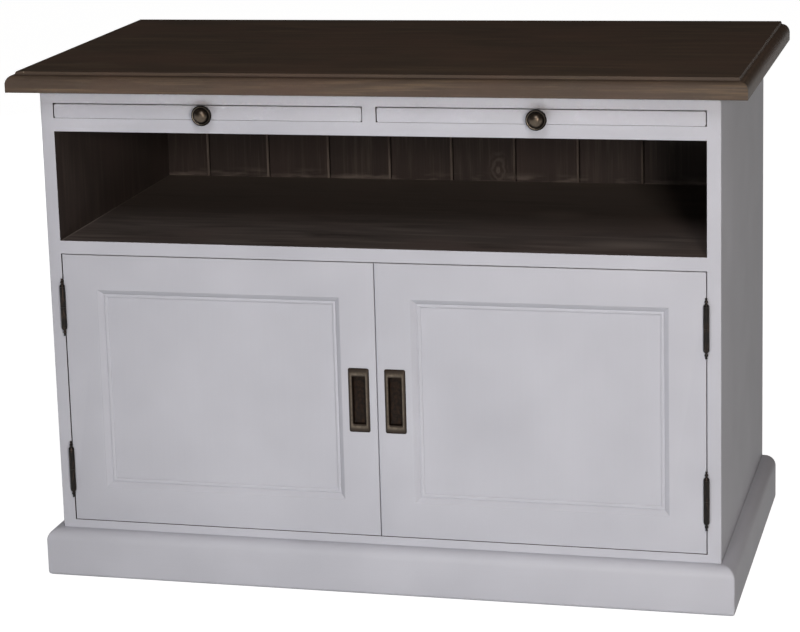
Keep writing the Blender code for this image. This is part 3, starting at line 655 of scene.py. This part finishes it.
def piece(name, shape, material, body, replaces=(), sharp=35.0, place=None):
    """A dressed piece, put in its place, that rides on a body and stands for CAD nodes."""
    mesh = bpy.data.meshes.new(name)
    shape.to_mesh(mesh)
    shape.free()
    mesh.shade_smooth()
    mesh.set_sharp_from_angle(angle=math.radians(sharp))
    mesh.materials.append(material)
    made = bpy.data.objects.new(name, mesh)
    bpy.context.scene.collection.objects.link(made)
    made.matrix_world = place or Matrix()
    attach(made, body)
    if replaces:
        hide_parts(*replaces)
    return made


def carve(made, shape):
    """Cuts a shape out of a piece for good."""
    mesh = bpy.data.meshes.new("cutter")
    shape.to_mesh(mesh)
    shape.free()
    cutter = bpy.data.objects.new("cutter", mesh)
    bpy.context.scene.collection.objects.link(cutter)
    step = made.modifiers.new("carve", "BOOLEAN")
    step.operation = "DIFFERENCE"
    step.solver = "EXACT"
    step.object = cutter
    bpy.context.view_layer.update()
    result = bpy.data.meshes.new_from_object(made.evaluated_get(bpy.context.evaluated_depsgraph_get()))
    made.modifiers.clear()
    made.data = result
    bpy.data.objects.remove(cutter)


def top(material):
    """The moulded top, with its arrises softened and the step above the ovolo."""
    low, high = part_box("top_panel")
    thick = high.z - low.z
    ovolo = arc((OVOLO_WIDTH, TOP_EDGE_FLAT), (OVOLO_WIDTH, OVOLO_HEIGHT), 180.0, 90.0, 16)
    shoulder = arc((OVOLO_WIDTH + STEP_WIDTH + ARRIS, thick - ARRIS), (ARRIS, ARRIS), 180.0, 90.0, 4)
    levels = []
    for inset, rise in (*arc((ARRIS, ARRIS), (ARRIS, ARRIS), 270.0, 180.0, 3), *ovolo, *shoulder):
        outline = rectangle((low.x + inset, low.y + inset), (high.x - inset, high.y))
        levels.append((outline, low.z + rise))
    piece("moulded_top", loft("Z", levels), material, "carcass", ["top_panel"])


def side_panels(materials):
    """Both ends of the carcass: boards rebated for the back, with the outer front edge eased."""
    for name, side in SIDES.items():
        node = f"side_panel_{name}"
        low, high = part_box(node)
        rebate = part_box("back_board_05")[0].y - FIT
        eased = arc((OUTER_HALF - SIDE_EASE, FRONT + SIDE_EASE), (SIDE_EASE, SIDE_EASE), 0.0, -90.0, 5)
        plan = [*eased, (INNER_HALF, FRONT), (INNER_HALF, rebate), (INNER_HALF + REBATE_WIDTH, rebate),
                (INNER_HALF + REBATE_WIDTH, BACK), (OUTER_HALF, BACK)]
        outline = [(side * x, y) for x, y in plan]
        shape = loft("Z", [(outline, low.z), (outline, high.z)])
        piece(f"painted_side_{name}", shape, materials[name], "carcass", [node], sharp=30.0)


def plinth(material):
    """The skirting as one painted run round the front and ends, its mitres filled and its corners eased."""
    low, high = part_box("plinth_front")
    height = high.z
    outer = FRONT - low.y
    foot = arc((outer - PLINTH_EASE, PLINTH_EASE), (PLINTH_EASE, PLINTH_EASE), 270.0, 360.0, 4)
    crown = arc((outer - PLINTH_ROUND, height - PLINTH_ROUND), (PLINTH_ROUND, PLINTH_ROUND), 0.0, 90.0, 12)
    section = [(FIT, 0.0), *foot, *crown, (FIT, height)]
    rows = []
    for x, y, out_x, out_y in ((-1, BACK, -1, 0), (-1, FRONT, -1, -1), (1, FRONT, 1, -1), (1, BACK, 1, 0)):
        rows.append([(x * OUTER_HALF + out * out_x, y + out * out_y, z) for out, z in section])
    shape, stations = skin(rows)
    corner = {v for station in stations[1:3] for v in station[1:-1]}
    edges = [e for e in shape.edges if e.verts[0] in corner and e.verts[1] in corner
             and (e.verts[0].co.xy - e.verts[1].co.xy).length < PLINTH_ROUND]
    round_edges(shape, edges, PLINTH_CORNER, 4)
    piece("painted_plinth", shape, material, "carcass",
          ["plinth_front", "plinth_left", "plinth_right"])


def door_sizes(name):
    """Outer and opening rectangles of a door's frame, in X and Z, and the depths of its face and back."""
    hinge_low, hinge_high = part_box(f"door_{name}_hinge_stile")
    free_low, free_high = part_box(f"door_{name}_meeting_stile")
    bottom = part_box(f"door_{name}_bottom_rail")
    top_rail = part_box(f"door_{name}_top_rail")
    xs = sorted((hinge_low.x, hinge_high.x, free_low.x, free_high.x))
    outer = ((xs[0], hinge_low.z - DOOR_FOOT), (xs[3], hinge_high.z))
    opening = ((xs[1], bottom[1].z), (xs[2], top_rail[0].z))
    return outer, opening, hinge_low.y, hinge_high.y


def door(name, paint_along):
    """A painted frame with no joints showing, and the moulding that holds its panel."""
    outer, opening, face, rear = door_sizes(name)
    panel_low, panel_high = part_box(f"door_{name}_panel")
    eased = [(rectangle(*outer, -inset), face + depth)
             for inset, depth in arc((DOOR_EASE, DOOR_EASE), (DOOR_EASE, DOOR_EASE), 180.0, 270.0, 3)]
    arris = [(FRAME_ARRIS + u, face + FRAME_ARRIS + v)
             for u, v in arc((0.0, 0.0), (FRAME_ARRIS, FRAME_ARRIS), 270.0, 180.0, 4)]
    groove = [*arris, (0.0, panel_low.y - FIT), (GROOVE_DEPTH, panel_low.y - FIT),
              (GROOVE_DEPTH, panel_high.y + FIT), (0.0, panel_high.y + FIT), (0.0, rear)]
    inside = [(rectangle(*opening, grow), depth) for grow, depth in groove]
    shape = loft("Y", [*eased, *inside, (rectangle(*outer), rear)], ring=True)
    members = [f"door_{name}_{part}" for part in ("hinge_stile", "meeting_stile", "top_rail", "bottom_rail")]
    made = piece(f"painted_frame_{name}", shape, paint_along["Z"], f"door_{name}", members)
    pull_low, pull_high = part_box(f"door_{name}_pull")
    half_rim = (PULL_SIDE_RIM / 2, PULL_END_RIM / 2)
    carve(made, block((pull_low.x + half_rim[0], face - MM, pull_low.z + half_rim[1]),
                      (pull_high.x - half_rim[0], pull_high.y + FIT, pull_high.z - half_rim[1])))
    edge = outer[0][0] if name == "left" else outer[1][0]
    for level in HINGE_LEVELS:
        leaf_low, leaf_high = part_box(f"hinge_{name}_{level}_door_leaf")
        carve(made, block((edge + SIDES[name] * MM, face - MM, leaf_low.z - FIT),
                          (edge - SIDES[name] * LEAF_BED, leaf_high.y + FIT, leaf_high.z + FIT)))
    moulding(name, opening, face, panel_low.y, paint_along["X"])


def moulding(name, opening, face, bed, material):
    """The mitred panel moulding: a bowed slope, a quirk and an inner bead against the panel."""
    width, foot = MOULDING_SLOPE
    section = [(0.0, bed - face)]
    for step in range(SLOPE_STEPS + 1):
        t = step / SLOPE_STEPS
        section.append((width * t, FRAME_ARRIS + (foot - FRAME_ARRIS) * t - 4 * MOULDING_BOW * t * (1 - t)))
    section += [(inset * MM, depth * MM) for inset, depth in MOULDING_QUIRK + MOULDING_BEAD]
    section.append((MOULDING_WIDTH, bed - face))
    shape = loft("Y", [(rectangle(*opening, -inset), face + depth) for inset, depth in section], ring=True)
    piece(f"panel_moulding_{name}", shape, material, f"door_{name}",
          [f"door_{name}_moulding"], sharp=30.0)


def pull(name, material):
    """A cast brass rim round a finger recess; the rim falls away from a crown beside the recess."""
    node = f"door_{name}_pull"
    low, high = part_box(node)
    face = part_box(f"door_{name}_meeting_stile")[0].y
    middle = Vector(((low.x + high.x) / 2, face, (low.z + high.z) / 2))
    recess = ((high.x - low.x) / 2 - PULL_SIDE_RIM, (high.z - low.z) / 2 - PULL_END_RIM)
    proud = face - low.y

    def outline(share, radius):
        return rounded(recess[0] + PULL_SIDE_RIM * share, recess[1] + PULL_END_RIM * share, radius)

    rim = [(1.0, PULL_EDGE - 0.3 * MM), (0.97, PULL_EDGE), (0.65, (PULL_EDGE + proud) / 2 + 0.12 * MM),
           (PULL_CROWN + CROWN_ROUND, proud - 0.1 * MM), (PULL_CROWN, proud),
           (PULL_CROWN - CROWN_ROUND, proud - 0.15 * MM), (0.0, proud - PULL_BEVEL)]
    cup = [(0.0, PULL_RECESS - MM), (-0.15, PULL_RECESS)]
    sections = [(outline(0.2, PULL_CORNER), high.y - face), (outline(0.2, PULL_CORNER), -FIT),
                (outline(1.0, PULL_CORNER), -FIT)]
    sections += [(outline(share, PULL_CORNER * (0.5 + share / 2)), -rise) for share, rise in rim]
    sections += [(outline(share, RECESS_CORNER), depth) for share, depth in cup]
    piece(f"brass_pull_{name}", loft("Y", sections), material, f"door_{name}", [node],
          sharp=40.0, place=Matrix.Translation(middle))


def knob(name, material):
    """A turned knob: dome, groove, bead and waisted stem."""
    node = f"tray_{name}_knob"
    low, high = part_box(node)
    radius = (high.x - low.x) / 2
    length = high.y - low.y

    def sized(shares):
        return shares[0] * radius, shares[1] * length

    outline = arc(*map(sized, KNOB_DOME), 90.0, 0.0, 14)
    outline += arc(*map(sized, KNOB_GROOVE), 180.0, 360.0, 6)
    outline += arc(*map(sized, KNOB_BEAD), 140.0, -60.0, 12)
    outline += [sized(shares) for shares in KNOB_STEM]
    seat = Matrix.Translation(((low.x + high.x) / 2, high.y, (low.z + high.z) / 2))
    piece(f"brass_knob_{name}", lathe(outline, 48), material, f"tray_{name}",
          [node], sharp=60.0, place=seat @ Matrix.Rotation(math.radians(90.0), 4, "X"))


def hinges(material):
    """The finial hinges: leaves, knuckles and pins, shaded round."""
    for name in SIDES:
        for level in HINGE_LEVELS:
            for part, body in (("frame_leaf", "carcass"), ("door_leaf", f"door_{name}"), ("pin", "carcass")):
                node = f"hinge_{name}_{level}_{part}"
                shape = whole_faces(of_node(node))
                piece(f"bronze_{node}", shape, material, body, [node], sharp=50.0)


def head(radius, rise, slot):
    """A low round head about +Z in two halves, parted by the slot for a driver."""
    made = bmesh.new()
    start = math.degrees(math.asin(slot / 2 / radius))
    for turn, lip in ((0.0, slot / 2), (180.0, -slot / 2)):
        rim = arc((0.0, 0.0), (radius, radius), start + turn, 180.0 - start + turn, 12)
        crown = [(HEAD_CROWN * x, HEAD_CROWN * (y - lip) + lip) for x, y in rim]
        join(made, loft("Z", [(rim, 0.0), (rim, HEAD_EDGE * rise), (crown, rise)]))
    return made


def heads(name, shape, places, material, body):
    """Copies of one head at several places, as one piece."""
    joined = bmesh.new()
    for place in places:
        join(joined, shape.copy(), place)
    shape.free()
    piece(name, joined, material, body, sharp=30.0)


def facing(place, way, turn):
    """Puts a head at a place so that it looks along a direction, with its slot turned."""
    return (Matrix.Translation(place) @ Vector(way).to_track_quat("Z", "Y").to_matrix().to_4x4()
            @ Matrix.Rotation(math.radians(turn), 4, "Z"))


def hinge_screws(material):
    """Three countersunk screws in each leaf, which show when a door is open."""
    for name, side in SIDES.items():
        for part, body, way in (("frame_leaf", "carcass", -side), ("door_leaf", f"door_{name}", side)):
            places = []
            for level in HINGE_LEVELS:
                low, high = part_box(f"hinge_{name}_{level}_{part}")
                for row, depth, turn in LEAF_SCREWS:
                    height = (low.z + high.z) / 2 + row * SCREW_SPACING
                    middle = (LEAF_FACES[part] * side, FRONT + depth, height)
                    places.append(facing(middle, (way, 0.0, 0.0), turn))
            screw = head(SCREW_RADIUS, SCREW_RISE, SCREW_SLOT)
            heads(f"screws_{name}_{part}", screw, places, material, body)


def strike_screws(material):
    """One screw in the middle of each strike plate."""
    for name in SIDES:
        low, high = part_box(f"door_{name}_strike")
        middle = ((low.x + high.x) / 2, high.y, (low.z + high.z) / 2)
        place = facing(middle, TO_BACK, STRIKE_SCREW_TURN)
        screw = head(SCREW_RADIUS, SCREW_RISE, SCREW_SLOT)
        heads(f"strike_screw_{name}", screw, [place], material, f"door_{name}")


def back_nails(material):
    """Pairs of cut nails that hold each back board to the boards across the carcass."""
    places = []
    for number in range(1, BACK_BOARDS + 1):
        low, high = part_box(f"back_board_{number:02d}")
        reach = min(NAIL_REACH, (high.x - low.x) / 4)
        for level in ("sub_top", "niche_floor", "cupboard_floor"):
            level_low, level_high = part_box(level)
            for side in SIDES.values():
                middle = ((low.x + high.x) / 2 + side * reach, high.y, (level_low.z + level_high.z) / 2)
                places.append(facing(middle, TO_BACK, NAIL_TURN))
    nail = head(NAIL_RADIUS, NAIL_RISE, NAIL_SEAM)
    heads("back_nails", nail, places, material, "carcass")


def magnet_poles(material):
    """Two steel pole plates for each magnet, just proud of the catch's face."""
    low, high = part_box("magnetic_catch")
    joined = bmesh.new()
    for side in SIDES.values():
        for share in POLE_HEIGHTS:
            z = low.z + share * (high.z - low.z)
            ends = [(side * POLE_FROM_MIDDLE + u, z + v) for u, v in rounded(*POLE_HALF, POLE_CORNER)]
            join(joined, loft("Y", [(ends, low.y + MM), (ends, low.y - POLE_PROUD)]))
    piece("magnet_poles", joined, material, "carcass", sharp=30.0)


def tray_fronts(material):
    """Painted tray fronts, with their front edges eased."""
    for name in SIDES:
        node = f"tray_{name}_front"
        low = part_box(node)[0]
        shape = whole_faces(of_node(node))
        for corner in shape.verts:
            if corner.co.z < low.z + FIT:
                corner.co.z -= TRAY_FRONT_DROP
        edges = [e for e in shape.edges if all(abs(v.co.y - low.y) < FIT for v in e.verts)
                 and e.calc_face_angle(0.0) > 0.5]
        round_edges(shape, edges, TRAY_EASE, 3)
        piece(f"painted_front_{name}", shape, material, f"tray_{name}", [node])


def crossing_boards(materials):
    """Boards across the carcass, run up to their neighbours so that the paint goes on over the joints."""
    for node, material in materials.items():
        shape = of_node(node)
        low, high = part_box(node)
        for corner in shape.verts:
            if node == "tray_divider":
                corner.co.z += FIT if corner.co.z > (low.z + high.z) / 2 else -FIT
            elif abs(abs(corner.co.x) - INNER_HALF + FIT) < FIT / 2:
                corner.co.x = math.copysign(INNER_HALF, corner.co.x)
        piece(f"painted_edge_{node}", shape, material, "carcass", [node], sharp=30.0)


def stage():
    """A pale floor that the camera sees as nearly white, in a dim room."""
    floor = bpy.data.meshes.new("floor")
    corners = rectangle((0.0, 0.0), (0.0, 0.0), FLOOR_REACH)
    floor.from_pydata([(x, y, 0.0) for x, y in corners], [], [(0, 1, 2, 3)])
    made = bpy.data.objects.new("floor", floor)
    bpy.context.scene.collection.objects.link(made)
    pale, tree, _ = new_material("pale_floor")
    rays = add(tree, "LightPath").outputs
    mirrored = reckon(tree, "MAXIMUM", rays["Is Glossy Ray"], rays["Is Transmission Ray"])
    seen = reckon(tree, "MAXIMUM", rays["Is Camera Ray"], mirrored)
    matt = add(tree, "BsdfDiffuse", {"Color": linear(FLOOR_MATT)})
    shaded = add(tree, "BsdfDiffuse", {"Color": linear(FLOOR_SHADED)})
    white = add(tree, "Emission", {"Color": linear("#ffffff"), "Strength": FLOOR_GLOW})
    glowing = add(tree, "AddShader", None, {0: shaded.outputs[0], 1: white.outputs[0]})
    both = add(tree, "MixShader", None, {0: seen, 1: matt.outputs[0], 2: glowing.outputs[0]})
    add(tree, "OutputMaterial", links={"Surface": both.outputs[0]})
    floor.materials.append(pale)
    world = bpy.data.worlds.new("studio")
    bpy.context.scene.world = world
    world.use_nodes = True
    world.node_tree.nodes.clear()
    room = add(world.node_tree, "Background", {"Color": linear(ROOM_TINT), "Strength": ROOM_LIGHT})
    add(world.node_tree, "OutputWorld", links={"Surface": room.outputs[0]})


def softbox(name, azimuth, elevation, distance, size, power, colour, mirrored=True, aim=None, spread=180.0):
    """A flat studio lamp that points at the cabinet's middle or at another place, with or without a grid."""
    lamp = bpy.data.lights.new(name, "AREA")
    lamp.shape = "RECTANGLE"
    lamp.size, lamp.size_y = size
    lamp.energy = power
    lamp.color = linear(colour)[:3]
    lamp.spread = math.radians(spread)
    made = bpy.data.objects.new(name, lamp)
    bpy.context.scene.collection.objects.link(made)
    a = math.radians(azimuth)
    e = math.radians(elevation)
    way = Vector((math.sin(a) * math.cos(e), -math.cos(a) * math.cos(e), math.sin(e)))
    made.location = (cad_box[0] + cad_box[1]) / 2 + way * distance
    made.rotation_mode = "QUATERNION"
    if aim:
        way = made.location - Vector(aim)
    made.rotation_quaternion = way.to_track_quat("Z", "Y")
    made.visible_glossy = mirrored
    made.visible_camera = False


def camera():
    """The photograph's own view."""
    data = bpy.data.cameras.new("camera")
    data.sensor_width = SENSOR
    data.lens = FOCAL_PIXELS / PICTURE[0] * SENSOR
    data.shift_x = (PICTURE[0] / 2 - LENS_AXIS[0]) / PICTURE[0]
    data.shift_y = (LENS_AXIS[1] - PICTURE[1] / 2) / PICTURE[0]
    made = bpy.data.objects.new("camera", data)
    bpy.context.scene.collection.objects.link(made)
    turn = Matrix.Rotation(math.radians(CAMERA_AZIMUTH), 4, "Z")
    tilt = Matrix.Rotation(math.radians(90.0 - CAMERA_ELEVATION), 4, "X")
    roll = Matrix.Rotation(math.radians(CAMERA_ROLL), 4, "Z")
    made.matrix_world = Matrix.Translation(CAMERA_AT) @ turn @ tilt @ roll
    bpy.context.scene.camera = made


def dress(node, material):
    """Gives a CAD node that stays in view its material."""
    nodes[node].data.materials.clear()
    nodes[node].data.materials.append(material)


camera()
stage()

# Each lamp's azimuth and elevation in degrees, distance and size in metres, power in watts, and colour
softbox("key", 23.0, 14.0, 4.0, (0.5, 0.5), 57.0, "#fff3ea")
softbox("fill", -8.0, 8.0, 5.0, (1.5, 1.5), 10.0, "#fffaf8")
softbox("overhead", 8.0, 42.0, 6.0, (2.0, 2.0), 96.0, "#fffcff")
softbox("low_strip", 5.0, -6.5, 1.7, (1.6, 0.36), 8.0, "#f5f9ff", mirrored=False)
softbox("band_strip", 0.0, 3.0, 2.0, (1.3, 0.06), 0.05, "#f5f9ff", mirrored=False,
        aim=BAND_MIDDLE, spread=3.0)
softbox("back", 225.0, 5.0, 4.2, (2.0, 2.0), 61.0, "#ffffff", mirrored=False)

coat = {axis: satin_paint(axis) for axis in "XZ"}
edge_boards = painted_and_stained("stained_pine_painted_edge", "X", TO_FRONT, GREY_STAIN)
niche_board = painted_and_stained("stained_pine_worn_painted_edge", "X", TO_FRONT, GREY_STAIN,
                                  niche_floor_marks)
top(stained_pine("stained_pine_top", "X", WARM_STAIN, top_marks))
side_materials = {}
for side_name, side_sign in SIDES.items():
    side_materials[side_name] = painted_and_stained(f"painted_side_stained_inside_{side_name}", "Z",
                                                    (side_sign, -1.0, 0.0), WALL_STAIN)
side_panels(side_materials)
plinth(coat["X"])
brass_pull = aged_brass(*PULL_PATINA)
knob_low, knob_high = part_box("tray_left_knob")
brass_knob = blackened_brass((knob_high.x - knob_low.x) / 2, knob_high.y - knob_low.y)
for side_name in SIDES:
    door(side_name, coat)
    pull(side_name, brass_pull)
    knob(side_name, brass_knob)
bronze = bronzed_steel()
hinges(bronze)
hinge_screws(bronze)
back_nails(bronze)
tray_fronts(coat["X"])

crossing_boards({"sub_top": edge_boards, "tray_deck": edge_boards, "tray_divider": edge_boards,
                 "niche_floor": niche_board, "cupboard_floor": edge_boards})
upright = stained_pine("stained_pine_matched_boards", "Z", DEEP_STAIN, back_board_marks)
lengthwise = stained_pine("stained_pine_shelf", "X", GREY_STAIN)
front_to_back = stained_pine("stained_pine_bearer", "Y", GREY_STAIN)
zinc = zinc_plate()
for node_name in nodes:
    if node_name.startswith("back_board"):
        dress(node_name, upright)
    elif node_name.startswith("shelf_bearer"):
        dress(node_name, front_to_back)
    elif node_name.endswith("_board") or node_name == "cupboard_shelf":
        dress(node_name, lengthwise)
    elif node_name.endswith("_panel") and node_name.startswith("door"):
        dress(node_name, coat["Z"])
    elif node_name.endswith("_strike"):
        dress(node_name, zinc)
dress("magnetic_catch", catch_plastic())
strike_screws(zinc)
magnet_poles(zinc)

bpy.context.scene.view_settings.view_transform = "Standard"
bpy.context.view_layer.update()
